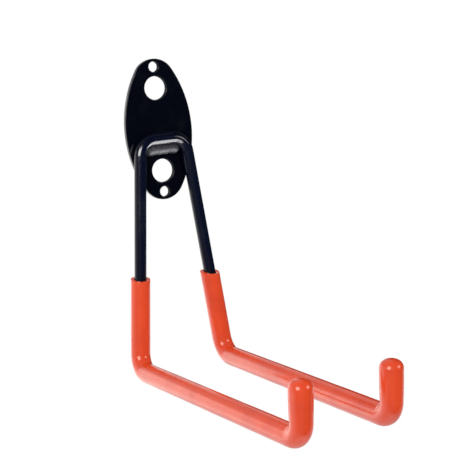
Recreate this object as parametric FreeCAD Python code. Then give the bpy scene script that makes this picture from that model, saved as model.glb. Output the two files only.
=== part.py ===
import FreeCAD, Part
import math
import os

# Garage utility hook: a steel rod bent into a double arm, welded to a wall plate, with vinyl sleeves.
# Lengths are in millimetres and angles in degrees.
# The wall is the plane Y = 0, the arms point along -Y, and +Z is up.
# The origin is the middle of the plate's back face.

# Wall plate
PLATE_HEIGHT = 75.0
PLATE_WIDTH = 38.5
PLATE_THICKNESS = 2.5
PLATE_END_RADIUS = 12.0
PLATE_EDGE_ROUND = 0.45
PLATE_BACK_BREAK = 0.2
SCREW_HOLE_DIAMETER = 5.5
SCREW_HOLE_SPACING = 66.5
ANCHOR_HOLE_DIAMETER = 12.5
ANCHOR_HOLE_SPACING = 44.0

# Bent rod, measured between the corners of its centreline
ROD_DIAMETER = 6.35
CROSSBAR_BELOW_CENTRE = 4.9
LEG_SPACING_TOP = 26.0
LEG_SPACING_FOOT = 50.7
LEG_DROP = 121.5
ARM_LENGTH = 165.0
ARM_TOE_IN = 0.85
TIP_LENGTH = 24.5
TIP_LEAN = 6.0
SHOULDER_BEND_RADIUS = 8.5
HEEL_BEND_RADIUS = 9.5
TOE_BEND_RADIUS = 9.0
ROD_END_CHAMFER = 0.6

# Vinyl sleeves
SLEEVE_DIAMETER = 10.5
SLEEVE_TIP_DIAMETER = 11.0
SLEEVE_UP_LEG = 48.0
SLEEVE_CLEARANCE = 0.15
SLEEVE_END_WALL = 2.55
SLEEVE_KNUCKLE_RADIUS = 4.0
SLEEVE_CROWN_RADIUS = 9.0
SLEEVE_RIM_ROUND = 0.7

# Weld bead in the notch under the crossbar, laid as a row of overlapping puddles
WELD_LENGTH = 21.0
WELD_PUDDLE_RADII = (3.0, 3.3, 3.1, 3.4, 3.2, 3.4, 3.1, 3.3, 3.0)
WELD_PUDDLE_INSET = 2.0
WELD_PUDDLE_STANDOFF = 0.9
WELD_ROOT_GAP = 0.28

ROD_RADIUS = ROD_DIAMETER / 2
ROD_Y = -(PLATE_THICKNESS + ROD_RADIUS)
Y_AXIS = FreeCAD.Vector(0, 1, 0)
LEFT = -1
RIGHT = 1
SAME_POINT = 0.01


def plate_outline():
    """Closed wire of the pointed oval: two end arcs joined by two long side arcs, all tangent."""
    half_width = PLATE_WIDTH / 2
    end_centre = PLATE_HEIGHT / 2 - PLATE_END_RADIUS
    side_radius = (half_width ** 2 + end_centre ** 2 - PLATE_END_RADIUS ** 2) / (2 * (half_width - PLATE_END_RADIUS))
    side_centre = side_radius - half_width
    reach = math.hypot(side_centre, end_centre)
    join_x = PLATE_END_RADIUS * side_centre / reach
    join_z = end_centre + PLATE_END_RADIUS * end_centre / reach

    def point(x, z):
        return FreeCAD.Vector(x, 0, z)

    top = Part.Arc(point(-join_x, join_z), point(0, PLATE_HEIGHT / 2), point(join_x, join_z))
    right = Part.Arc(point(join_x, join_z), point(half_width, 0), point(join_x, -join_z))
    bottom = Part.Arc(point(join_x, -join_z), point(0, -PLATE_HEIGHT / 2), point(-join_x, -join_z))
    left = Part.Arc(point(-join_x, -join_z), point(-half_width, 0), point(-join_x, join_z))
    return Part.Wire([arc.toShape() for arc in (top, right, bottom, left)])


def back_plate():
    """Stamped plate with four holes, its front edges rounded by the die and its back edges just broken."""
    plate = Part.Face(plate_outline()).extrude(-Y_AXIS * PLATE_THICKNESS)
    holes = ((SCREW_HOLE_DIAMETER, SCREW_HOLE_SPACING), (ANCHOR_HOLE_DIAMETER, ANCHOR_HOLE_SPACING))
    for diameter, spacing in holes:
        for end in (-1, 1):
            centre = FreeCAD.Vector(0, 0, end * spacing / 2)
            plate = plate.cut(Part.makeCylinder(diameter / 2, PLATE_THICKNESS, centre, -Y_AXIS))
    plate = plate.makeFillet(PLATE_EDGE_ROUND, rims_at(plate, -PLATE_THICKNESS))
    return plate.makeChamfer(PLATE_BACK_BREAK, rims_at(plate, 0))


def rims_at(plate, y):
    """Edges of the plate that lie in one plane Y = y."""
    return [edge for edge in plate.Edges if max(abs(edge.BoundBox.YMin - y), abs(edge.BoundBox.YMax - y)) < SAME_POINT]


def side_corners(side):
    """Centreline corners of one side of the rod: shoulder, heel and toe, and the way that the tip points."""
    shoulder = FreeCAD.Vector(side * LEG_SPACING_TOP / 2, ROD_Y, -CROSSBAR_BELOW_CENTRE)
    heel = FreeCAD.Vector(side * LEG_SPACING_FOOT / 2, ROD_Y, shoulder.z - LEG_DROP)
    toe_in = math.radians(ARM_TOE_IN)
    toe = heel + FreeCAD.Vector(-side * math.sin(toe_in), -math.cos(toe_in), 0) * ARM_LENGTH
    lean = math.radians(TIP_LEAN)
    return shoulder, heel, toe, FreeCAD.Vector(0, -math.sin(lean), math.cos(lean))


def bend(before, corner, after, radius):
    """Start, middle and end of the arc that rounds one corner of the centreline."""
    towards_before = (before - corner).normalize()
    towards_after = (after - corner).normalize()
    half_angle = towards_before.getAngle(towards_after) / 2
    setback = radius / math.tan(half_angle)
    inwards = (towards_before + towards_after).normalize()
    middle = corner + inwards * (radius / math.sin(half_angle) - radius)
    return corner + towards_before * setback, middle, corner + towards_after * setback


def centreline(points, radii):
    """Wire through the points, with an arc of the given radius at each inner corner."""
    edges = []
    start = points[0]
    for before, corner, after, radius in zip(points, points[1:], points[2:], radii):
        arc_start, arc_middle, arc_end = bend(before, corner, after, radius)
        edges.append(Part.LineSegment(start, arc_start).toShape())
        edges.append(Part.Arc(arc_start, arc_middle, arc_end).toShape())
        start = arc_end
    edges.append(Part.LineSegment(start, points[-1]).toShape())
    return Part.Wire(edges)


def tube(path, radius):
    """Solid round bar of the given radius along a wire."""
    first = path.OrderedEdges[0]
    direction = first.tangentAt(first.FirstParameter)
    section = Part.Wire(Part.Circle(path.OrderedVertexes[0].Point, direction, radius).toShape())
    return path.makePipeShell([section], True, False)


def rod_end(side):
    """Centre of the rod's cut end in the tip."""
    toe, up_tip = side_corners(side)[2:]
    return toe + up_tip * TIP_LENGTH


def bent_rod():
    """The whole rod, from one tip over the crossbar to the other, with its two cut ends chamfered."""
    left_shoulder, left_heel, left_toe, up_tip = side_corners(LEFT)
    right_shoulder, right_heel, right_toe, up_tip = side_corners(RIGHT)
    points = [rod_end(LEFT), left_toe, left_heel, left_shoulder, right_shoulder, right_heel, right_toe, rod_end(RIGHT)]
    down_side = [TOE_BEND_RADIUS, HEEL_BEND_RADIUS, SHOULDER_BEND_RADIUS]
    rod = tube(centreline(points, down_side + down_side[::-1]), ROD_RADIUS)
    ends = [edge for edge in rod.Edges if is_ring_at(edge, rod_end(LEFT)) or is_ring_at(edge, rod_end(RIGHT))]
    return rod.makeChamfer(ROD_END_CHAMFER, ends)


def is_ring_at(edge, centre):
    """True for a round edge whose centre is the given point."""
    if edge.Degenerated or not isinstance(edge.Curve, Part.Circle):
        return False
    return edge.Curve.Center.isEqual(centre, SAME_POINT)


def point_under_arch(station):
    """Point just inside the rod's arch, at a distance along it from the middle of the crossbar."""
    shoulder, heel, toe, up_tip = side_corners(RIGHT)
    across = FreeCAD.Vector(-shoulder.x, shoulder.y, shoulder.z)
    bend_start = bend(across, shoulder, heel, SHOULDER_BEND_RADIUS)[0]
    inner_radius = SHOULDER_BEND_RADIUS - ROD_RADIUS - WELD_PUDDLE_INSET
    turned = max(0, abs(station) - bend_start.x) / inner_radius
    x = min(abs(station), bend_start.x) + inner_radius * math.sin(turned)
    z = bend_start.z - SHOULDER_BEND_RADIUS + inner_radius * math.cos(turned)
    return FreeCAD.Vector(math.copysign(x, station), 0, z)


def weld_bead():
    """Row of weld puddles that follows the inside of the arch, filling the notch between rod and plate."""
    left_shoulder, left_heel = side_corners(LEFT)[:2]
    right_shoulder, right_heel = side_corners(RIGHT)[:2]
    arch_points = [left_heel, left_shoulder, right_shoulder, right_heel]
    arch = centreline(arch_points, [SHOULDER_BEND_RADIUS] * 2)
    contact = [FreeCAD.Vector(point.x, -PLATE_THICKNESS, point.z) for point in arch_points]
    root = centreline(contact, [SHOULDER_BEND_RADIUS] * 2)
    root_radius = math.sqrt(ROD_DIAMETER * WELD_ROOT_GAP)
    half_row = WELD_LENGTH / 2 - max(WELD_PUDDLE_RADII)
    pitch = 2 * half_row / (len(WELD_PUDDLE_RADII) - 1)
    puddles = []
    for index, radius in enumerate(WELD_PUDDLE_RADII):
        centre = point_under_arch(index * pitch - half_row) - Y_AXIS * (PLATE_THICKNESS + WELD_PUDDLE_STANDOFF)
        puddles.append(Part.makeSphere(radius, centre))
    bead = puddles[0].multiFuse(puddles[1:])
    plate_side = Part.makeBox(PLATE_WIDTH, WELD_LENGTH, PLATE_HEIGHT,
                              FreeCAD.Vector(-PLATE_WIDTH / 2, -PLATE_THICKNESS, -PLATE_HEIGHT / 2))
    for neighbour in (plate_side, tube(arch, ROD_RADIUS), tube(root, root_radius)):
        bead = bead.cut(neighbour)
    return bead


def sleeve_tip(toe, up_tip, tip_start):
    """Closed end of a sleeve: it swells a little from the toe bend up to a domed top with a rounded knuckle."""
    bend_radius = SLEEVE_DIAMETER / 2
    tip_radius = SLEEVE_TIP_DIAMETER / 2
    top = TIP_LENGTH + SLEEVE_CLEARANCE + SLEEVE_END_WALL
    crown_centre = top - SLEEVE_CROWN_RADIUS
    knuckle_x = tip_radius - SLEEVE_KNUCKLE_RADIUS
    centre_distance = SLEEVE_CROWN_RADIUS - SLEEVE_KNUCKLE_RADIUS
    shoulder = crown_centre + math.sqrt(centre_distance ** 2 - knuckle_x ** 2)
    swell = tip_radius - bend_radius
    height = shoulder - tip_start
    outward = FreeCAD.Vector(1, 0, 0)

    def point(radius, station):
        return toe + outward * radius + up_tip * station

    edges = [Part.LineSegment(point(0, tip_start), point(bend_radius, tip_start)).toShape()]
    if swell > 0:
        side_radius = (swell ** 2 + height ** 2) / (2 * swell)
        half_height = height / 2
        sag = side_radius - math.sqrt(side_radius ** 2 - half_height ** 2)
        side = Part.Arc(point(bend_radius, tip_start), point(tip_radius - sag, shoulder - half_height), point(tip_radius, shoulder))
    else:
        side = Part.LineSegment(point(bend_radius, tip_start), point(tip_radius, shoulder))
    edges.append(side.toShape())
    crown_angle = math.asin(knuckle_x / centre_distance)
    knuckle_angle = (crown_angle + math.pi / 2) / 2

    def on_knuckle(angle):
        radius = SLEEVE_KNUCKLE_RADIUS
        return point(knuckle_x + radius * math.sin(angle), shoulder + radius * math.cos(angle))

    def on_crown(angle):
        return point(SLEEVE_CROWN_RADIUS * math.sin(angle), crown_centre + SLEEVE_CROWN_RADIUS * math.cos(angle))

    knuckle = Part.Arc(point(tip_radius, shoulder), on_knuckle(knuckle_angle), on_crown(crown_angle))
    crown = Part.Arc(on_crown(crown_angle), on_crown(crown_angle / 2), point(0, top))
    edges += [knuckle.toShape(), crown.toShape()]
    edges.append(Part.LineSegment(point(0, top), point(0, tip_start)).toShape())
    return Part.Face(Part.Wire(edges)).revolve(toe, up_tip, 360)


def sleeve(side):
    """One vinyl sleeve: a tube round the leg, heel, arm and toe of the rod, with a domed end and a soft level rim."""
    shoulder, heel, toe, up_tip = side_corners(side)
    up_leg = (shoulder - heel).normalize()
    rim = heel + up_leg * SLEEVE_UP_LEG
    above_rim = rim + up_leg * SLEEVE_DIAMETER
    tip_start = bend(heel, toe, toe + up_tip, TOE_BEND_RADIUS)[2]
    radii = [HEEL_BEND_RADIUS, TOE_BEND_RADIUS]
    outside = tube(arm_path(above_rim, heel, toe, tip_start, radii), SLEEVE_DIAMETER / 2)
    outside = outside.fuse(sleeve_tip(toe, up_tip, toe.distanceToPoint(tip_start)))
    bore_end = rod_end(side) + up_tip * SLEEVE_CLEARANCE
    bore = tube(centreline([above_rim, heel, toe, bore_end], radii), ROD_RADIUS + SLEEVE_CLEARANCE)
    shell = outside.cut(bore).removeSplitter().cut(undipped_space(rim))
    rim_edges = [edge for edge in shell.Edges if is_level(edge, rim.z)]
    return shell.makeFillet(SLEEVE_RIM_ROUND, rim_edges)


def undipped_space(rim):
    """Block above the dip line, which is level although the leg slants, as the vinyl's surface was in the dip tank."""
    half_side = 2 * SLEEVE_DIAMETER
    corner = rim - FreeCAD.Vector(half_side, half_side, 0)
    return Part.makeBox(2 * half_side, 2 * half_side, half_side, corner)


def is_level(edge, z):
    """True for an edge that lies in the level plane at the given height."""
    return max(abs(edge.BoundBox.ZMin - z), abs(edge.BoundBox.ZMax - z)) < SAME_POINT


def arm_path(rim, heel, toe, tip_start, radii):
    """Centreline from the rim round the heel to the end of the toe bend."""
    edges = []
    start = rim
    for before, corner, after, radius in ((rim, heel, toe, radii[0]), (heel, toe, tip_start, radii[1])):
        arc_start, arc_middle, arc_end = bend(before, corner, after, radius)
        edges.append(Part.LineSegment(start, arc_start).toShape())
        edges.append(Part.Arc(arc_start, arc_middle, arc_end).toShape())
        start = arc_end
    return Part.Wire(edges)


def save(name, shape):
    """Write one sub-part, and report its volume as a check."""
    shape.exportStep("parts/" + name + ".step")
    print(name, "valid" if shape.isValid() else "INVALID", len(shape.Solids), "solid", round(shape.Volume, 2), "mm3")


os.makedirs("parts", exist_ok=True)
save("back_plate", back_plate())
save("bent_rod", bent_rod())
save("weld_bead", weld_bead())
save("left_sleeve", sleeve(LEFT))
save("right_sleeve", sleeve(RIGHT))
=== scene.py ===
import math

import bmesh
import bpy
from bpy.props import FloatProperty, FloatVectorProperty, IntProperty, PointerProperty, StringProperty
from mathutils import Matrix, Vector


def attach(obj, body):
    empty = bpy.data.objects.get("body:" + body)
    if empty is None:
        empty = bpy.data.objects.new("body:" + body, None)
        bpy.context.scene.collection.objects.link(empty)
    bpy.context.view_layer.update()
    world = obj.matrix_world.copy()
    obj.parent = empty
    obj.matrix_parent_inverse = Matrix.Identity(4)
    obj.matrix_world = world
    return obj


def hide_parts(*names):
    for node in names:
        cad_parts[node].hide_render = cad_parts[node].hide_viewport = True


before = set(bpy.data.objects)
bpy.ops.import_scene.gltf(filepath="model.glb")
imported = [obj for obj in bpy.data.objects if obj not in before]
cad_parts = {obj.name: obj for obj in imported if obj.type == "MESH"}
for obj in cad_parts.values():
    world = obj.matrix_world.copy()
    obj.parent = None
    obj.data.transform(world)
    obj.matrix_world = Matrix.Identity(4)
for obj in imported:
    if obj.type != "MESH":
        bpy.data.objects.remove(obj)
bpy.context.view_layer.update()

bl_info = {
    "name": "Garage utility hook",
    "version": (1, 0, 0),
    "blender": (4, 5, 0),
    "location": "3D View > Sidebar > Hook",
    "description": "Dresses a wall hook: enamelled plate and rod, weld bead and dipped vinyl sleeves",
    "category": "Object",
}

# The wall is Y = 0, the arms point along -Y, Z is up, and lengths are in metres.
BODY = "root"
WELD_PIECE = "weld_bead_metal"
LEFT = -1
RIGHT = 1
SIDE_NAMES = {LEFT: "left", RIGHT: "right"}
MM = 0.001
Y_AXIS = Vector((0, 1, 0))
Z_AXIS = Vector((0, 0, 1))


# Sizes and colours


class RodSizes(bpy.types.PropertyGroup):
    """Centreline of the bent rod, which the sleeves and the weld bead follow."""

    diameter: FloatProperty(name="Rod diameter", description="Round bar", default=0.00635, unit="LENGTH")
    axis_y: FloatProperty(
        name="Axis depth", description="Rod axis, in front of the wall", default=-0.005675, unit="LENGTH")
    crossbar_z: FloatProperty(
        name="Crossbar height", description="Height of the crossbar's axis", default=-0.0049, unit="LENGTH")
    spacing_top: FloatProperty(
        name="Leg spacing, top", description="Between leg axes at the crossbar",
        default=0.026, unit="LENGTH")
    spacing_foot: FloatProperty(
        name="Leg spacing, foot", description="Between leg axes at the heels",
        default=0.0507, unit="LENGTH")
    leg_drop: FloatProperty(
        name="Leg drop", description="From crossbar axis to arm axis", default=0.1215, unit="LENGTH")
    arm_length: FloatProperty(
        name="Arm length", description="From heel corner to toe corner", default=0.165, unit="LENGTH")
    toe_in: FloatProperty(
        name="Toe-in", description="How far each arm turns inwards",
        default=math.radians(0.85), subtype="ANGLE")
    tip_lean: FloatProperty(
        name="Tip lean", description="How far each tip leans forwards",
        default=math.radians(6.0), subtype="ANGLE")
    shoulder_radius: FloatProperty(
        name="Shoulder bend", description="Bend radius of the axis", default=0.0085, unit="LENGTH")
    heel_radius: FloatProperty(
        name="Heel bend", description="Bend radius of the axis", default=0.0095, unit="LENGTH")
    toe_radius: FloatProperty(
        name="Toe bend", description="Bend radius of the axis", default=0.009, unit="LENGTH")


class PlateSizes(bpy.types.PropertyGroup):
    """Outline and holes of the plate, which its finish follows."""

    height: FloatProperty(name="Height", description="Tip to tip", default=0.075, unit="LENGTH")
    width: FloatProperty(name="Width", description="At the middle", default=0.0385, unit="LENGTH")
    end_radius: FloatProperty(
        name="End radius", description="Round of the two ends", default=0.012, unit="LENGTH")
    edge_round: FloatProperty(
        name="Edge round", description="Round of the front edges", default=0.00045, unit="LENGTH")
    screw_hole: FloatProperty(name="Screw hole", description="Diameter", default=0.0055, unit="LENGTH")
    screw_spacing: FloatProperty(
        name="Screw spacing", description="Between the small holes", default=0.0665, unit="LENGTH")
    anchor_hole: FloatProperty(name="Anchor hole", description="Diameter", default=0.0125, unit="LENGTH")
    anchor_spacing: FloatProperty(
        name="Anchor spacing", description="Between the large holes", default=0.044, unit="LENGTH")


class SleeveSizes(bpy.types.PropertyGroup):
    """One dipped vinyl sleeve."""

    diameter: FloatProperty(
        name="Diameter", description="Outside, along leg and arm", default=0.0105, unit="LENGTH")
    tip_diameter: FloatProperty(
        name="Tip diameter", description="Outside, under the dome", default=0.011, unit="LENGTH")
    wall: FloatProperty(name="Wall", description="Thickness of the vinyl", default=0.0019, unit="LENGTH")
    up_leg: FloatProperty(
        name="Up the leg", description="From heel corner to rim", default=0.048, unit="LENGTH")
    tip_height: FloatProperty(
        name="Tip height", description="From toe corner to the dome's top", default=0.0272, unit="LENGTH")
    knuckle: FloatProperty(
        name="Knuckle radius", description="Round between side and dome", default=0.004, unit="LENGTH")
    crown: FloatProperty(
        name="Crown radius", description="Dome of the closed end", default=0.009, unit="LENGTH")
    rim_round: FloatProperty(
        name="Rim round", description="Round of the rim's edges", default=0.0006, unit="LENGTH")
    dip_lean: FloatProperty(
        name="Dip lean", description="How far the rims drop forwards",
        default=math.radians(10.0), subtype="ANGLE")
    dip_tilt: FloatProperty(
        name="Dip tilt", description="How far the rims drop to the right",
        default=math.radians(3.0), subtype="ANGLE")
    unevenness: FloatProperty(
        name="Unevenness", description="Depth of the hollows that the dip leaves",
        default=0.0001, unit="LENGTH")
    sides: IntProperty(name="Sides", description="Faces round the sleeve", default=56, min=12)


class WeldSizes(bpy.types.PropertyGroup):
    """Weld bead in the notch under the crossbar."""

    length: FloatProperty(
        name="Length", description="Along the inside of the arch", default=0.021, unit="LENGTH")
    inset: FloatProperty(
        name="Inset", description="From the rod's inner edge to the puddles", default=0.002, unit="LENGTH")
    standoff: FloatProperty(
        name="Stand-off", description="From plate to the puddles' middles", default=0.0009, unit="LENGTH")
    root: FloatProperty(
        name="Root", description="How far the bead reaches behind the plate's face",
        default=0.0002, unit="LENGTH")
    plate_face_y: FloatProperty(
        name="Plate face", description="Front face of the plate", default=-0.0025, unit="LENGTH")
    grain: FloatProperty(
        name="Grain", description="Voxel size that melts the puddles together",
        default=0.0002, unit="LENGTH")


class Finishes(bpy.types.PropertyGroup):
    """Colours, as sRGB hex values."""

    enamel: StringProperty(name="Enamel", description="Black gloss enamel", default="#020410")
    enamel_haze: StringProperty(
        name="Enamel haze", description="Where the enamel is a little dull", default="#070a15")
    enamel_edge: StringProperty(
        name="Enamel edge", description="Where the enamel is rubbed thin along edges", default="#23262e")
    vinyl: StringProperty(name="Vinyl", description="Dipped vinyl", default="#e54b22")
    vinyl_deep: StringProperty(
        name="Deep vinyl", description="Where the dip runs thicker", default="#d9411c")
    floor: StringProperty(name="Floor", description="Studio floor", default="#f4f4f4")
    lamp: StringProperty(name="Lamp", description="Light of the lamps", default="#fff8ec")


class StageSizes(bpy.types.PropertyGroup):
    """Floor and camera."""

    floor_z: FloatProperty(
        name="Floor height", description="The hook hangs clear of the floor", default=-0.75, unit="LENGTH")
    floor_side: FloatProperty(
        name="Floor side", description="Side of the square floor", default=6.0, unit="LENGTH")
    floor_front: FloatProperty(
        name="Floor front", description="From the wall to the front edge", default=0.5, unit="LENGTH")
    lens: FloatProperty(name="Lens", description="Focal length in millimetres", default=102.256)
    camera_place: FloatVectorProperty(
        name="Camera", description="Place of the camera",
        default=(-0.277802, -0.625589, 0.037781), subtype="XYZ")
    camera_azimuth: FloatProperty(
        name="Camera azimuth", description="Round from the front",
        default=math.radians(-26.582), subtype="ANGLE")
    camera_elevation: FloatProperty(
        name="Camera elevation", description="Above level", default=math.radians(7.688), subtype="ANGLE")
    camera_roll: FloatProperty(
        name="Camera roll", description="About the line of sight",
        default=math.radians(-4.968), subtype="ANGLE")


# Materials

# Sockets of the Mix node, by number because several of them share a name
MIX_SHARE = 0
NUMBER_A = 2
NUMBER_B = 3
COLOUR_A = 6
COLOUR_B = 7
MIXED_COLOUR = 2

WHITE = (1, 1, 1, 1)

# Enamel: the noise levels between which its haze comes in, and how much duller the haze makes it
HAZE_STARTS = 0.52
HAZE_FULL = 0.78
HAZE_DULLING = 1.6
# Width of the rubbed marks along the plate's edges
SCUFF_MM = 1.2
# Roughness of the dry coat in the holes, and how much of the edge round counts with them
DRY_COAT = 0.9
HOLE_WALL_SHARE = 0.125
# Slants of the surface between which the bar's gloss softens, and the roughness that it reaches
SLANT_STARTS = 0.5
SLANT_FULL = 0.9
SLANT_ROUGHNESS = 0.5

# Vinyl: width of its thicker patches and the noise levels between which they come in
PATCH_MM = 14
PATCH_STARTS = 0.35
PATCH_FULL = 0.7
# Roughness where the vinyl is thin and where it is thick
THIN_VINYL = 0.18
THICK_VINYL = 0.24
# Width and depth of the runs and of the skin texture
RUN_MM = 5
RUN_DEPTH_MM = 0.02
SKIN_MM = 0.7
SKIN_DEPTH_MM = 0.003

# Floor: the point under the hook, and how far from there the shadow starts to give way to white and is gone
UNDER_HOOK = (0, -0.09, 0)
SHADOW_KEPT = 0.18
SHADOW_GONE = 0.38
# What a mirror shows of the floor: dark in front of the first, white behind the second, and under the hook
# a bright patch, with the distances of its edge and its core, and its level
FLOOR_DARK_Y = -1.1
FLOOR_WHITE_Y = 0.8
BRIGHT_EDGE = 0.8
BRIGHT_CORE = 0.3
BRIGHT_LEVEL = 0.8


def linear(hex_colour):
    """sRGB hex value as linear red, green, blue and an alpha of 1."""
    channels = [int(hex_colour[i:i + 2], 16) / 255 for i in (1, 3, 5)]
    return [c / 12.92 if c <= 0.04045 else ((c + 0.055) / 1.055) ** 2.4 for c in channels] + [1.0]


def add_node(tree, kind, inputs=None, **settings):
    """Adds a node. The settings are its properties. The inputs are constants, or sockets to link, by the
    name or number of the input."""
    node = tree.nodes.new(kind)
    for name, value in settings.items():
        setattr(node, name, value)
    for key, value in (inputs or {}).items():
        if isinstance(value, bpy.types.NodeSocket):
            tree.links.new(value, node.inputs[key])
        else:
            node.inputs[key].default_value = value
    return node


def new_material(name):
    material = bpy.data.materials.new(name)
    material.use_nodes = True
    material.node_tree.nodes.clear()
    return material, material.node_tree


def per_metre(millimetres):
    """Scale of a noise whose blobs are that many millimetres wide."""
    return 1 / (millimetres * MM)


def gloss_enamel(name, finishes, gloss, peel_mm, peel_depth_mm, haze_mm, plate=None):
    """Black stoving enamel, sprayed on steel and baked. It levels to a mirror gloss that ripples like
    orange peel. The gloss is a little duller in soft patches, where the coat is thin or was handled. On
    the plate it is rubbed thin along the edges, and dry and dull in the holes, where little of the spray
    reaches. On round bar the gloss softens towards the outline."""
    material, tree = new_material(name)
    place = add_node(tree, "ShaderNodeTexCoord").outputs["Object"]
    patches = add_node(tree, "ShaderNodeTexNoise", {
        "Vector": place, "Scale": per_metre(haze_mm), "Detail": 3.0})
    haze = add_node(tree, "ShaderNodeMapRange", {
        "Value": patches.outputs["Fac"], "From Min": HAZE_STARTS, "From Max": HAZE_FULL}).outputs[0]
    colour = add_node(tree, "ShaderNodeMix", {
        MIX_SHARE: haze, COLOUR_A: linear(finishes.enamel), COLOUR_B: linear(finishes.enamel_haze)},
        data_type="RGBA").outputs[MIXED_COLOUR]
    dullness = add_node(tree, "ShaderNodeMapRange", {
        "Value": haze, "To Min": gloss, "To Max": HAZE_DULLING * gloss}).outputs[0]
    if plate:
        edge, wall = plate_edges(tree, place, plate)
        scuffs = add_node(tree, "ShaderNodeTexNoise", {
            "Vector": place, "Scale": per_metre(SCUFF_MM), "Detail": 2.0})
        rubbed = add_node(tree, "ShaderNodeMath", {0: edge, 1: scuffs.outputs["Fac"]}, operation="MULTIPLY")
        colour = add_node(tree, "ShaderNodeMix", {
            MIX_SHARE: rubbed.outputs[0], COLOUR_A: colour, COLOUR_B: linear(finishes.enamel_edge)},
            data_type="RGBA").outputs[MIXED_COLOUR]
        dullness = add_node(tree, "ShaderNodeMix", {
            MIX_SHARE: wall, NUMBER_A: dullness, NUMBER_B: DRY_COAT}, data_type="FLOAT").outputs[0]
    else:
        slant = add_node(tree, "ShaderNodeLayerWeight", {"Blend": 0.5}).outputs["Facing"]
        softened = add_node(tree, "ShaderNodeMapRange", {
            "Value": slant, "From Min": SLANT_STARTS, "From Max": SLANT_FULL, "To Max": SLANT_ROUGHNESS})
        dullness = add_node(tree, "ShaderNodeMath", {
            0: dullness, 1: softened.outputs[0]}, operation="MAXIMUM").outputs[0]
    peel = add_node(tree, "ShaderNodeTexNoise", {
        "Vector": place, "Scale": per_metre(peel_mm), "Detail": 1.0})
    ripple = add_node(tree, "ShaderNodeBump", {
        "Height": peel.outputs["Fac"], "Distance": peel_depth_mm * MM, "Strength": 1.0})
    coat = add_node(tree, "ShaderNodeBsdfPrincipled", {
        "Base Color": colour, "Roughness": dullness, "IOR": 1.5, "Normal": ripple.outputs["Normal"]})
    add_node(tree, "ShaderNodeOutputMaterial", {"Surface": coat.outputs["BSDF"]})
    return material


def plate_edges(tree, place, plate):
    """Masks of the plate's rounded edges and of the walls of its holes, from the distance to its arcs."""
    end_centre = plate.height / 2 - plate.end_radius
    half_width = plate.width / 2
    squares = half_width ** 2 + end_centre ** 2 - plate.end_radius ** 2
    side_radius = squares / (2 * (half_width - plate.end_radius))
    side_centre = side_radius - half_width
    quarter = add_node(tree, "ShaderNodeVectorMath", {0: place}, operation="ABSOLUTE").outputs[0]
    flat = add_node(tree, "ShaderNodeVectorMath", {
        0: quarter, 1: (1, 0, 1)}, operation="MULTIPLY").outputs[0]

    def depth_inside(centre, radius):
        """How far a point of the plate lies inside a circle."""
        far = add_node(tree, "ShaderNodeVectorMath", {0: flat, 1: centre}, operation="DISTANCE")
        depth = add_node(tree, "ShaderNodeMath", {0: radius, 1: far.outputs["Value"]}, operation="SUBTRACT")
        return depth.outputs[0]

    parts = add_node(tree, "ShaderNodeSeparateXYZ", {0: flat}).outputs
    border = add_node(tree, "ShaderNodeMath", {
        0: parts["X"], 1: end_centre / side_centre, 2: end_centre}, operation="MULTIPLY_ADD").outputs[0]
    in_end = add_node(tree, "ShaderNodeMath", {
        0: parts["Z"], 1: border}, operation="GREATER_THAN").outputs[0]
    side_depth = depth_inside((-side_centre, 0, 0), side_radius)
    end_depth = depth_inside((0, 0, end_centre), plate.end_radius)
    outline = add_node(tree, "ShaderNodeMix", {
        MIX_SHARE: in_end, NUMBER_A: side_depth, NUMBER_B: end_depth}, data_type="FLOAT").outputs[0]
    edge = add_node(tree, "ShaderNodeMath", {
        0: outline, 1: plate.edge_round}, operation="LESS_THAN").outputs[0]
    wall = 0.0
    holes = ((plate.screw_hole, plate.screw_spacing), (plate.anchor_hole, plate.anchor_spacing))
    for diameter, spacing in holes:
        hole = depth_inside((0, 0, spacing / 2), diameter / 2)
        on_rim = add_node(tree, "ShaderNodeMath", {
            0: hole, 1: -plate.edge_round}, operation="GREATER_THAN").outputs[0]
        on_wall = add_node(tree, "ShaderNodeMath", {
            0: hole, 1: -plate.edge_round * HOLE_WALL_SHARE}, operation="GREATER_THAN").outputs[0]
        edge = add_node(tree, "ShaderNodeMath", {0: edge, 1: on_rim}, operation="MAXIMUM").outputs[0]
        wall = add_node(tree, "ShaderNodeMath", {0: wall, 1: on_wall}, operation="MAXIMUM").outputs[0]
    return edge, wall


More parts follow.
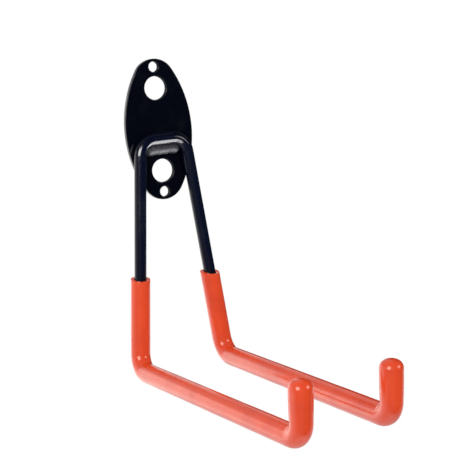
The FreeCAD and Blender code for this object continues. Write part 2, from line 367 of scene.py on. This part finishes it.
def dipped_vinyl(name, finishes):
    """Plastisol vinyl, built up by dipping the hot rod. It is a soft, slightly cloudy plastic with a waxy
    gloss, faint runs and a fine skin texture."""
    material, tree = new_material(name)
    place = add_node(tree, "ShaderNodeTexCoord").outputs["Object"]
    clouds = add_node(tree, "ShaderNodeTexNoise", {
        "Vector": place, "Scale": per_metre(PATCH_MM), "Detail": 2.0})
    thick = add_node(tree, "ShaderNodeMapRange", {
        "Value": clouds.outputs["Fac"], "From Min": PATCH_STARTS, "From Max": PATCH_FULL}).outputs[0]
    colour = add_node(tree, "ShaderNodeMix", {
        MIX_SHARE: thick, COLOUR_A: linear(finishes.vinyl), COLOUR_B: linear(finishes.vinyl_deep)},
        data_type="RGBA").outputs[MIXED_COLOUR]
    dullness = add_node(tree, "ShaderNodeMapRange", {
        "Value": thick, "To Min": THIN_VINYL, "To Max": THICK_VINYL}).outputs[0]
    runs = add_node(tree, "ShaderNodeTexNoise", {
        "Vector": place, "Scale": per_metre(RUN_MM), "Detail": 1.0})
    skin = add_node(tree, "ShaderNodeTexNoise", {
        "Vector": place, "Scale": per_metre(SKIN_MM), "Detail": 2.0})
    swell = add_node(tree, "ShaderNodeBump", {
        "Height": runs.outputs["Fac"], "Distance": RUN_DEPTH_MM * MM, "Strength": 1.0})
    grain = add_node(tree, "ShaderNodeBump", {
        "Height": skin.outputs["Fac"], "Distance": SKIN_DEPTH_MM * MM, "Strength": 1.0,
        "Normal": swell.outputs["Normal"]})
    plastic = add_node(tree, "ShaderNodeBsdfPrincipled", {
        "Base Color": colour, "Roughness": dullness, "IOR": 1.53, "Specular IOR Level": 0.95,
        "Subsurface Weight": 0.08, "Subsurface Radius": (1.0, 0.25, 0.1), "Subsurface Scale": 0.0012,
        "Normal": grain.outputs["Normal"]})
    add_node(tree, "ShaderNodeOutputMaterial", {"Surface": plastic.outputs["BSDF"]})
    return material


def studio_floor(name, finishes):
    """Matt white paper sweep. It takes the hook's shadow nearby and runs out to plain white. In a mirror it
    darkens towards its front, except under the hook."""
    material, tree = new_material(name)
    place = add_node(tree, "ShaderNodeTexCoord").outputs["Object"]
    flat = add_node(tree, "ShaderNodeVectorMath", {0: place, 1: (1, 1, 0)}, operation="MULTIPLY").outputs[0]
    from_hook = add_node(tree, "ShaderNodeVectorMath", {
        0: flat, 1: UNDER_HOOK}, operation="DISTANCE").outputs["Value"]
    away = add_node(tree, "ShaderNodeMapRange", {
        "Value": from_hook, "From Min": SHADOW_KEPT, "From Max": SHADOW_GONE},
        interpolation_type="SMOOTHSTEP").outputs[0]
    path = add_node(tree, "ShaderNodeLightPath").outputs
    straight = add_node(tree, "ShaderNodeMath", {
        0: path["Is Camera Ray"], 1: path["Is Transmission Ray"]}, operation="MAXIMUM").outputs[0]
    straight_out = add_node(tree, "ShaderNodeMath", {0: away, 1: straight}, operation="MULTIPLY").outputs[0]
    white_out = add_node(tree, "ShaderNodeMath", {
        0: straight_out, 1: path["Is Glossy Ray"]}, operation="MAXIMUM").outputs[0]
    parts = add_node(tree, "ShaderNodeSeparateXYZ", {0: place}).outputs
    behind = add_node(tree, "ShaderNodeMapRange", {
        "Value": parts["Y"], "From Min": FLOOR_DARK_Y, "From Max": FLOOR_WHITE_Y}).outputs[0]
    below = add_node(tree, "ShaderNodeMapRange", {
        "Value": from_hook, "From Min": BRIGHT_EDGE, "From Max": BRIGHT_CORE,
        "To Max": BRIGHT_LEVEL}).outputs[0]
    mirrored = add_node(tree, "ShaderNodeMath", {0: behind, 1: below}, operation="MAXIMUM").outputs[0]
    level = add_node(tree, "ShaderNodeMix", {
        MIX_SHARE: path["Is Glossy Ray"], NUMBER_A: 1.0, NUMBER_B: mirrored}, data_type="FLOAT").outputs[0]
    paper = add_node(tree, "ShaderNodeBsdfDiffuse", {"Color": linear(finishes.floor)})
    white = add_node(tree, "ShaderNodeEmission", {"Color": WHITE, "Strength": level})
    both = add_node(tree, "ShaderNodeMixShader", {0: white_out, 1: paper.outputs[0], 2: white.outputs[0]})
    add_node(tree, "ShaderNodeOutputMaterial", {"Surface": both.outputs[0]})
    return material


def assign(piece, material):
    piece.data.materials.clear()
    piece.data.materials.append(material)


# The rod's line


def side_corners(rod, side):
    """Corners of one side of the rod's axis: shoulder, heel and toe, and the way that the tip points."""
    shoulder = Vector((side * rod.spacing_top / 2, rod.axis_y, rod.crossbar_z))
    heel = Vector((side * rod.spacing_foot / 2, rod.axis_y, rod.crossbar_z - rod.leg_drop))
    toe = heel + Vector((-side * math.sin(rod.toe_in), -math.cos(rod.toe_in), 0)) * rod.arm_length
    return shoulder, heel, toe, Vector((0, -math.sin(rod.tip_lean), math.cos(rod.tip_lean)))


def bend(before, corner, after, radius):
    """Start, centre, axis, angle and end of the arc that rounds a corner."""
    arriving = (corner - before).normalized()
    leaving = (after - corner).normalized()
    angle = arriving.angle(leaving)
    setback = radius * math.tan(angle / 2)
    start = corner - arriving * setback
    axis = arriving.cross(leaving).normalized()
    centre = start + axis.cross(arriving) * radius
    return start, centre, axis, angle, corner + leaving * setback


# Modelling by hand

# A sharper edge than this stays an edge, and the rest is shaded smooth.
SMOOTH_ANGLE = math.radians(50)


def deselect_all():
    if bpy.context.object and bpy.context.object.mode != "OBJECT":
        bpy.ops.object.mode_set(mode="OBJECT")
    bpy.ops.object.select_all(action="DESELECT")


def run_out(distance, direction, step):
    """Draws the selected ring out along a straight line, in rows about one step long."""
    rows = max(1, round(distance / step))
    for _ in range(rows):
        bpy.ops.mesh.extrude_region_move(TRANSFORM_OT_translate={"value": direction * (distance / rows)})


def turn(centre, axis, angle, steps):
    """Draws the selected ring round a bend. The spin operator turns clockwise about its axis."""
    bpy.ops.mesh.spin(steps=steps, angle=-angle, center=centre, axis=axis)


def scale_ring(factor, centre):
    bpy.ops.transform.resize(value=(factor, factor, factor), center_override=centre)


def finish_piece(piece, name):
    """Names the piece and puts its object at the origin, unturned and unscaled, its place in its mesh."""
    piece.name = name
    piece.data.name = name
    bpy.ops.object.transform_apply(location=True, rotation=True, scale=True)
    bpy.ops.object.shade_smooth_by_angle(angle=SMOOTH_ANGLE)


def apply_modifier(piece, kind, **settings):
    modifier = piece.modifiers.new(kind.title(), kind)
    for name, value in settings.items():
        setattr(modifier, name, value)
    bpy.ops.object.modifier_apply(modifier=modifier.name)


# Operators


class HOOK_OT_paint_steel(bpy.types.Operator):
    """Give the plate and the rod, which keep their CAD shape, their black enamel"""

    bl_idname = "hook.paint_steel"
    bl_label = "Paint plate and rod"

    def execute(self, context):
        finishes = context.scene.hook_finishes
        sheet = gloss_enamel(
            "stoved_enamel_on_sheet", finishes, gloss=0.11, peel_mm=2.6, peel_depth_mm=0.006, haze_mm=9,
            plate=context.scene.hook_plate)
        bar = gloss_enamel(
            "stoved_enamel_on_bar", finishes, gloss=0.12, peel_mm=2.4, peel_depth_mm=0.003, haze_mm=12)
        assign(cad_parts["back_plate"], sheet)
        assign(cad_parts["bent_rod"], bar)
        return {"FINISHED"}


class HOOK_OT_lay_weld(bpy.types.Operator):
    """Lay the weld bead as a row of puddles and melt them together"""

    bl_idname = "hook.lay_weld"
    bl_label = "Weld bead"

    PUDDLE_RADII = (0.003, 0.0033, 0.0031, 0.0034, 0.0032, 0.0034, 0.0031, 0.0033, 0.003)
    PUDDLE_SEGMENTS = 40
    PUDDLE_RINGS = 24
    MELT_FACTOR = 0.5
    MELT_ROUNDS = 24
    # Points closer than this are one to the cut. The operator's own 0.1 mm leaves holes in so fine a mesh.
    SAME_POINT = 1e-6

    def execute(self, context):
        rod, weld = context.scene.hook_rod, context.scene.hook_weld
        deselect_all()
        half_row = weld.length / 2 - max(self.PUDDLE_RADII)
        pitch = 2 * half_row / (len(self.PUDDLE_RADII) - 1)
        puddles = []
        for index, radius in enumerate(self.PUDDLE_RADII):
            centre = self.point_under_arch(rod, weld, index * pitch - half_row)
            bpy.ops.mesh.primitive_uv_sphere_add(
                segments=self.PUDDLE_SEGMENTS, ring_count=self.PUDDLE_RINGS, radius=radius, location=centre)
            puddles.append(context.object)
        for puddle in puddles:
            puddle.select_set(True)
        bpy.ops.object.join()
        bead = context.object
        finish_piece(bead, WELD_PIECE)
        apply_modifier(bead, "REMESH", mode="VOXEL", voxel_size=weld.grain, use_smooth_shade=True)
        apply_modifier(bead, "SMOOTH", factor=self.MELT_FACTOR, iterations=self.MELT_ROUNDS)
        self.trim_at_plate(weld)
        metal = gloss_enamel(
            "stoved_enamel_on_weld", context.scene.hook_finishes, gloss=0.5, peel_mm=1.2,
            peel_depth_mm=0.02, haze_mm=4)
        assign(bead, metal)
        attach(bead, BODY)
        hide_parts("weld_bead")
        return {"FINISHED"}

    @staticmethod
    def point_under_arch(rod, weld, station):
        """Point just inside the rod's arch, at a distance along it from the middle of the crossbar."""
        shoulder, heel = side_corners(rod, RIGHT)[:2]
        across = Vector((-shoulder.x, shoulder.y, shoulder.z))
        bend_start = bend(across, shoulder, heel, rod.shoulder_radius)[0]
        inner_radius = rod.shoulder_radius - rod.diameter / 2 - weld.inset
        turned = max(0, abs(station) - bend_start.x) / inner_radius
        x = min(abs(station), bend_start.x) + inner_radius * math.sin(turned)
        z = bend_start.z - rod.shoulder_radius + inner_radius * math.cos(turned)
        return Vector((math.copysign(x, station), weld.plate_face_y - weld.standoff, z))

    def trim_at_plate(self, weld):
        """Ends the bead just behind the plate's face."""
        bpy.ops.object.mode_set(mode="EDIT")
        bpy.ops.mesh.select_all(action="SELECT")
        root = Vector((0, weld.plate_face_y + weld.root, 0))
        bpy.ops.mesh.bisect(
            plane_co=root, plane_no=Y_AXIS, use_fill=True, clear_outer=True, threshold=self.SAME_POINT)
        bpy.ops.object.mode_set(mode="OBJECT")
        bpy.ops.object.shade_smooth_by_angle(angle=SMOOTH_ANGLE)


class HOOK_OT_dip_sleeves(bpy.types.Operator):
    """Draw each vinyl sleeve down the leg, round the heel, along the arm and up to its domed tip"""

    bl_idname = "hook.dip_sleeves"
    bl_label = "Vinyl sleeves"

    # About how long the rows of faces are on the straight stretches
    ROW = 0.003
    BEND_STEPS = 16
    DOME_STEPS = 6
    HOLLOW_WIDTH = 0.012
    # Only the rim has edges sharper than this, and they are rounded in this many steps.
    RIM_ANGLE = math.radians(60)
    RIM_STEPS = 4

    def execute(self, context):
        vinyl = dipped_vinyl("dipped_plastisol_vinyl", context.scene.hook_finishes)
        for side in (LEFT, RIGHT):
            skin = self.draw_skin(context, side)
            self.thicken(context, skin)
            assign(skin, vinyl)
            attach(skin, BODY)
            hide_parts(SIDE_NAMES[side] + "_sleeve")
        return {"FINISHED"}

    def draw_skin(self, context, side):
        """Outer skin of one sleeve, open at the rim. It starts one diameter too high and is then cut."""
        rod, size = context.scene.hook_rod, context.scene.hook_sleeve
        shoulder, heel, toe, up_tip = side_corners(rod, side)
        up_leg = (shoulder - heel).normalized()
        along_arm = (toe - heel).normalized()
        rim = heel + up_leg * size.up_leg
        above_rim = rim + up_leg * size.diameter
        deselect_all()
        down_leg = (-up_leg).to_track_quat("Z", "Y").to_euler()
        bpy.ops.mesh.primitive_circle_add(
            vertices=size.sides, radius=size.diameter / 2, location=above_rim, rotation=down_leg)
        skin = context.object
        finish_piece(skin, SIDE_NAMES[side] + "_sleeve_vinyl")
        bpy.ops.object.mode_set(mode="EDIT")
        bpy.ops.mesh.select_all(action="SELECT")
        start, centre, axis, angle, end = bend(rim, heel, toe, rod.heel_radius)
        run_out((start - above_rim).length, -up_leg, self.ROW)
        turn(centre, axis, angle, self.BEND_STEPS)
        start, centre, axis, angle, tip_start = bend(end, toe, toe + up_tip, rod.toe_radius)
        run_out((start - end).length, along_arm, self.ROW)
        turn(centre, axis, angle, self.BEND_STEPS)
        self.draw_tip(size, toe, up_tip, (tip_start - toe).length)
        self.trim_at_dip_line(skin, size, rim)
        bpy.ops.object.mode_set(mode="OBJECT")
        return skin

    def draw_tip(self, size, toe, up_tip, station):
        """Swelling side of the tip, its rounded knuckle and its shallow dome. The station is the distance
        from the toe's corner."""
        crown_centre = size.tip_height - size.crown
        knuckle_x = size.tip_diameter / 2 - size.knuckle
        centre_distance = size.crown - size.knuckle
        side_end = crown_centre + math.sqrt(centre_distance ** 2 - knuckle_x ** 2)
        crown_angle = math.asin(knuckle_x / centre_distance)
        swell = (size.tip_diameter - size.diameter) / 2
        profile = []
        rows = max(2, round((side_end - station) / self.ROW))
        for row in range(1, rows + 1):
            share = row / rows
            side_radius = size.diameter / 2 + swell * share * (2 - share)
            profile.append((side_radius, station + (side_end - station) * share))
        for step in range(1, self.DOME_STEPS + 1):
            angle = math.pi / 2 - (math.pi / 2 - crown_angle) * step / self.DOME_STEPS
            knuckle_radius = knuckle_x + size.knuckle * math.sin(angle)
            profile.append((knuckle_radius, side_end + size.knuckle * math.cos(angle)))
        for step in range(1, self.DOME_STEPS):
            angle = crown_angle * (1 - step / self.DOME_STEPS)
            profile.append((size.crown * math.sin(angle), crown_centre + size.crown * math.cos(angle)))
        radius = size.diameter / 2
        for next_radius, next_station in profile:
            run_out(next_station - station, up_tip, self.ROW)
            scale_ring(next_radius / radius, toe + up_tip * next_station)
            radius, station = next_radius, next_station
        run_out(size.tip_height - station, up_tip, self.ROW)
        bpy.ops.mesh.merge(type="CENTER")

    @staticmethod
    def trim_at_dip_line(skin, size, rim):
        """Both rims lie in one plane, a little off level, where the vinyl's surface stood in the dip tank.
        Only the leg is cut, because the plane also passes through the tip."""
        bpy.ops.mesh.select_all(action="DESELECT")
        for face in bmesh.from_edit_mesh(skin.data).faces:
            if face.calc_center_median().z > rim.z - size.diameter:
                face.select_set(True)
        bmesh.update_edit_mesh(skin.data)
        between_legs = Vector((0, rim.y, rim.z))
        up = Vector((math.tan(size.dip_tilt), -math.tan(size.dip_lean), 1)).normalized()
        bpy.ops.mesh.bisect(plane_co=between_legs, plane_no=up, clear_outer=True)

    def thicken(self, context, skin):
        """Uneven dip, whose hollows go inwards, then the wall inwards from the skin, then the soft rim."""
        size = context.scene.hook_sleeve
        hollows = bpy.data.textures.new("dip_hollows", "CLOUDS")
        hollows.noise_scale = self.HOLLOW_WIDTH
        bpy.ops.object.mode_set(mode="EDIT")
        bpy.ops.mesh.select_all(action="SELECT")
        bpy.ops.mesh.normals_make_consistent(inside=False)
        bpy.ops.object.mode_set(mode="OBJECT")
        apply_modifier(
            skin, "DISPLACE", texture=hollows, texture_coords="LOCAL", strength=size.unevenness,
            mid_level=1.0)
        apply_modifier(skin, "SOLIDIFY", thickness=size.wall, offset=-1.0, use_even_offset=True)
        apply_modifier(
            skin, "BEVEL", width=size.rim_round, segments=self.RIM_STEPS, limit_method="ANGLE",
            angle_limit=self.RIM_ANGLE, harden_normals=False)
        bpy.ops.object.shade_smooth_by_angle(angle=self.RIM_ANGLE)


class HOOK_OT_set_stage(bpy.types.Operator):
    """Lay the floor, hang the lamps and stand the camera"""

    bl_idname = "hook.set_stage"
    bl_label = "Stage"

    # Name of each lamp, azimuth from the front and elevation in degrees, distance, width, height, radiance
    LAMPS = (
        ("key_lamp", -52, 25, 1.2, 0.60, 0.70, 4.7),
        ("fill_lamp", 44, 19, 1.2, 0.48, 0.44, 3.9),
        ("table_lamp", 192, -7, 1.2, 1.00, 1.00, 0.8),
    )
    # The lamps that light only the rod and the weld bead
    BAR_LAMPS = (
        ("glint_lamp", 46, -55, 0.5, 0.75, 0.53, 11.0),
        ("streak_lamp", -42, 19, 1.2, 0.95, 0.46, 13.0),
    )
    HOOK_MIDDLE = Vector((0, -0.06, -0.06))

    # Level of the world's light, and what a mirror shows of it: the upper sweep and the dark room
    EVEN_LIGHT = 0.74
    UPPER_SWEEP = 0.45
    DARK_ROOM = 0.02
    # Part of the mirrored direction that each change follows, where it starts and ends, and its level there
    MIRRORED = {
        "low": ("Z", 0.44, 0.34, 1.0),
        "behind": ("Y", -0.6, 0.9, 1.0),
        "not_far_right": ("X", 0.5, 0.4, 1.0),
        "left_wall": ("X", 0.1, -0.3, 0.14),
    }

    SENSOR_WIDTH_MM = 36
    NEAREST_SEEN = 0.01

    def execute(self, context):
        stage = context.scene.hook_stage
        self.lay_floor(context, stage)
        for lamp in self.LAMPS:
            self.hang_lamp(context, *lamp).data.color = linear(context.scene.hook_finishes.lamp)[:3]
        bar = bpy.data.collections.new("bar")
        bar.objects.link(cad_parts["bent_rod"])
        bar.objects.link(bpy.data.objects[WELD_PIECE])
        for lamp in self.BAR_LAMPS:
            self.hang_lamp(context, *lamp).light_linking.receiver_collection = bar
        self.light_world(context)
        self.stand_camera(context, stage)
        context.scene.view_settings.view_transform = "Standard"
        return {"FINISHED"}

    @staticmethod
    def lay_floor(context, stage):
        deselect_all()
        middle_y = stage.floor_side / 2 - stage.floor_front
        bpy.ops.mesh.primitive_plane_add(size=stage.floor_side, location=(0, middle_y, stage.floor_z))
        floor = context.object
        finish_piece(floor, "floor")
        assign(floor, studio_floor("white_paper_sweep", context.scene.hook_finishes))

    def hang_lamp(self, context, name, azimuth, elevation, distance, width, height, radiance):
        """A soft box at that place round the hook, turned to its middle. Its power is its radiance times pi
        times its area."""
        back = self.away(math.radians(azimuth), math.radians(elevation))
        bpy.ops.object.light_add(type="AREA", location=self.HOOK_MIDDLE + back * distance)
        lamp = context.object
        lamp.name = name
        lamp.rotation_euler = back.to_track_quat("Z", "Y").to_euler()
        lamp.data.shape = "RECTANGLE"
        lamp.data.size = width
        lamp.data.size_y = height
        lamp.data.energy = radiance * math.pi * width * height
        lamp.visible_camera = False
        return lamp

    def light_world(self, context):
        """Even studio light. What is seen straight is the white sweep. In a mirror the sweep shows behind
        and under the hook, dimmer higher up, with a dim wall to the left and elsewhere the dark room."""
        world = bpy.data.worlds.new("studio")
        context.scene.world = world
        world.use_nodes = True
        tree = world.node_tree
        tree.nodes.clear()
        path = add_node(tree, "ShaderNodeLightPath").outputs
        direction = add_node(tree, "ShaderNodeTexCoord").outputs["Generated"]
        parts = add_node(tree, "ShaderNodeSeparateXYZ", {0: direction}).outputs
        shares = {}
        for name, (part, start, end, level) in self.MIRRORED.items():
            shares[name] = add_node(tree, "ShaderNodeMapRange", {
                "Value": parts[part], "From Min": start, "From Max": end, "To Max": level},
                interpolation_type="SMOOTHSTEP").outputs[0]
        height = add_node(tree, "ShaderNodeMath", {
            0: shares["low"], 1: self.UPPER_SWEEP}, operation="MAXIMUM")
        back = add_node(tree, "ShaderNodeMath", {
            0: shares["behind"], 1: height.outputs[0]}, operation="MULTIPLY")
        sweep = add_node(tree, "ShaderNodeMath", {
            0: back.outputs[0], 1: shares["not_far_right"]}, operation="MULTIPLY")
        walls = add_node(tree, "ShaderNodeMath", {
            0: sweep.outputs[0], 1: shares["left_wall"]}, operation="MAXIMUM")
        mirrored = add_node(tree, "ShaderNodeMath", {
            0: walls.outputs[0], 1: self.DARK_ROOM}, operation="MAXIMUM")
        level = add_node(tree, "ShaderNodeMix", {
            MIX_SHARE: path["Is Glossy Ray"], NUMBER_A: self.EVEN_LIGHT, NUMBER_B: mirrored.outputs[0]},
            data_type="FLOAT")
        straight = add_node(tree, "ShaderNodeMath", {
            0: path["Is Camera Ray"], 1: path["Is Transmission Ray"]}, operation="MAXIMUM")
        strength = add_node(tree, "ShaderNodeMix", {
            MIX_SHARE: straight.outputs[0], NUMBER_A: level.outputs[0], NUMBER_B: 1.0}, data_type="FLOAT")
        sky = add_node(tree, "ShaderNodeBackground", {"Color": WHITE, "Strength": strength.outputs[0]})
        add_node(tree, "ShaderNodeOutputWorld", {"Surface": sky.outputs[0]})

    def stand_camera(self, context, stage):
        back = self.away(stage.camera_azimuth, stage.camera_elevation)
        right = (-back).cross(Z_AXIS).normalized()
        up = right.cross(-back)
        rolled = Matrix.Rotation(stage.camera_roll, 3, back)
        axes = Matrix((rolled @ right, rolled @ up, back)).transposed()
        bpy.ops.object.camera_add(location=stage.camera_place, rotation=axes.to_euler())
        camera = context.object
        camera.name = "camera"
        camera.data.lens = stage.lens
        camera.data.sensor_width = self.SENSOR_WIDTH_MM
        camera.data.clip_start = self.NEAREST_SEEN
        context.scene.camera = camera

    @staticmethod
    def away(azimuth, elevation):
        """Direction from the hook, with azimuth 0 in front of it."""
        level = math.cos(elevation)
        return Vector((math.sin(azimuth) * level, -math.cos(azimuth) * level, math.sin(elevation)))


# Panel and registration


class HOOK_PT_panel(bpy.types.Panel):
    """Lists the operators of the hook, and its sizes and colours"""

    bl_idname = "HOOK_PT_panel"
    bl_label = "Garage utility hook"
    bl_space_type = "VIEW_3D"
    bl_region_type = "UI"
    bl_category = "Hook"

    def draw(self, context):
        for operator in OPERATORS:
            self.layout.operator(operator.bl_idname, text=operator.bl_label)
        for holder in GROUPS:
            group = getattr(context.scene, holder)
            box = self.layout.box()
            for name in group.bl_rna.properties.keys():
                if name not in ("name", "rna_type"):
                    box.prop(group, name)


GROUPS = {
    "hook_plate": PlateSizes,
    "hook_rod": RodSizes,
    "hook_sleeve": SleeveSizes,
    "hook_weld": WeldSizes,
    "hook_finishes": Finishes,
    "hook_stage": StageSizes,
}
OPERATORS = (HOOK_OT_paint_steel, HOOK_OT_lay_weld, HOOK_OT_dip_sleeves, HOOK_OT_set_stage)


def register():
    for group in GROUPS.values():
        bpy.utils.register_class(group)
    for holder, group in GROUPS.items():
        setattr(bpy.types.Scene, holder, PointerProperty(type=group))
    for operator in OPERATORS:
        bpy.utils.register_class(operator)
    bpy.utils.register_class(HOOK_PT_panel)


def unregister():
    bpy.utils.unregister_class(HOOK_PT_panel)
    for operator in reversed(OPERATORS):
        bpy.utils.unregister_class(operator)
    for holder, group in GROUPS.items():
        delattr(bpy.types.Scene, holder)
        bpy.utils.unregister_class(group)


def main():
    register()
    bpy.ops.hook.paint_steel()
    bpy.ops.hook.lay_weld()
    bpy.ops.hook.dip_sleeves()
    bpy.ops.hook.set_stage()


if __name__ == "__main__":
    main()
